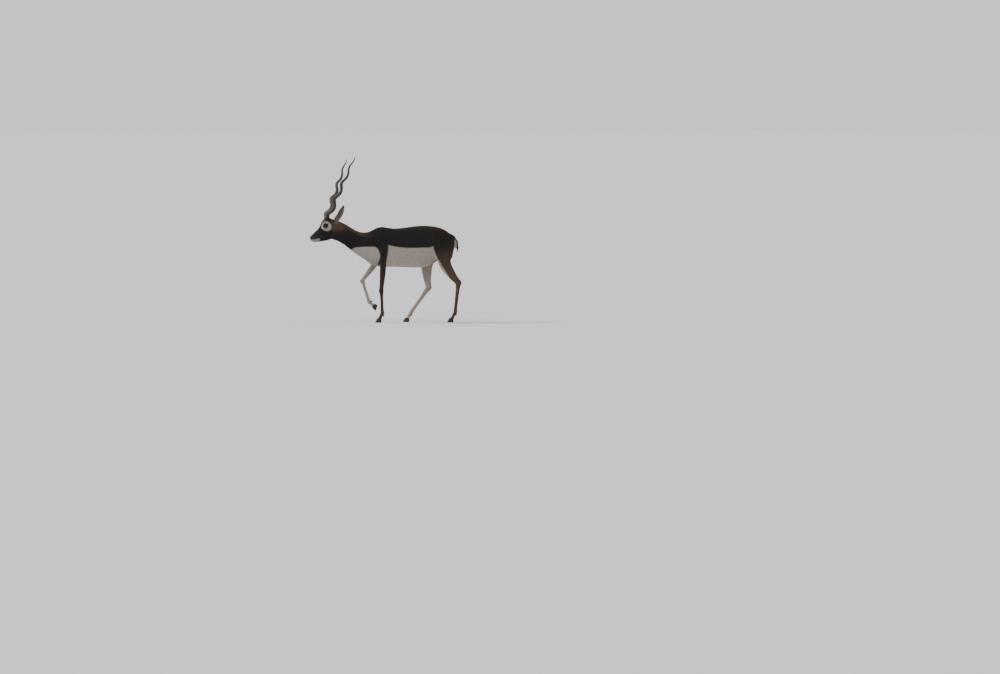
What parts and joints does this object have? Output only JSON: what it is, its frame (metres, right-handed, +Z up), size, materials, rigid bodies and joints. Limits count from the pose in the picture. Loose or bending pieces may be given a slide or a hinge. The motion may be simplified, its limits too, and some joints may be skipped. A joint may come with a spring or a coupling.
{
  "type": "blackbuck antelope model",
  "caption": "Life-size model of a male blackbuck antelope in mid stride, one foreleg raised, with long ringed spiral horns and a dark and white coat.",
  "frame": {"origin": "on the floor, under the middle of the model's box", "axes": "+Z up; the animal faces -X, with its left side at -Y and its right side at +Y"},
  "size_m": [1.2748, 0.458, 1.3927],
  "materials": {
    "coat_dark": "matte",
    "coat_brown": "matte",
    "horn": "satin",
    "hoof": "satin",
    "eye": "gloss"
  },
  "bodies": {
    "root": {"trunk": "coat_dark", "neck": "coat_dark", "head": "coat_brown", "tail": "coat_dark", "ear_left": "coat_brown", "ear_right": "coat_brown", "eye_left": "eye", "eye_right": "eye", "horn_left": "horn", "horn_right": "horn", "leg_fore_left": "coat_dark", "leg_fore_right": "coat_dark", "leg_hind_left": "coat_dark", "leg_hind_right": "coat_dark", "hoof_fore_left_outer": "hoof", "hoof_fore_left_inner": "hoof", "hoof_fore_right_outer": "hoof", "hoof_fore_right_inner": "hoof", "hoof_hind_left_outer": "hoof", "hoof_hind_left_inner": "hoof", "hoof_hind_right_outer": "hoof", "hoof_hind_right_inner": "hoof", "dewclaw_fore_left_outer": "hoof", "dewclaw_fore_left_inner": "hoof", "dewclaw_fore_right_outer": "hoof", "dewclaw_fore_right_inner": "hoof", "dewclaw_hind_left_outer": "hoof", "dewclaw_hind_left_inner": "hoof", "dewclaw_hind_right_outer": "hoof", "dewclaw_hind_right_inner": "hoof"}
  },
  "joints": []
}
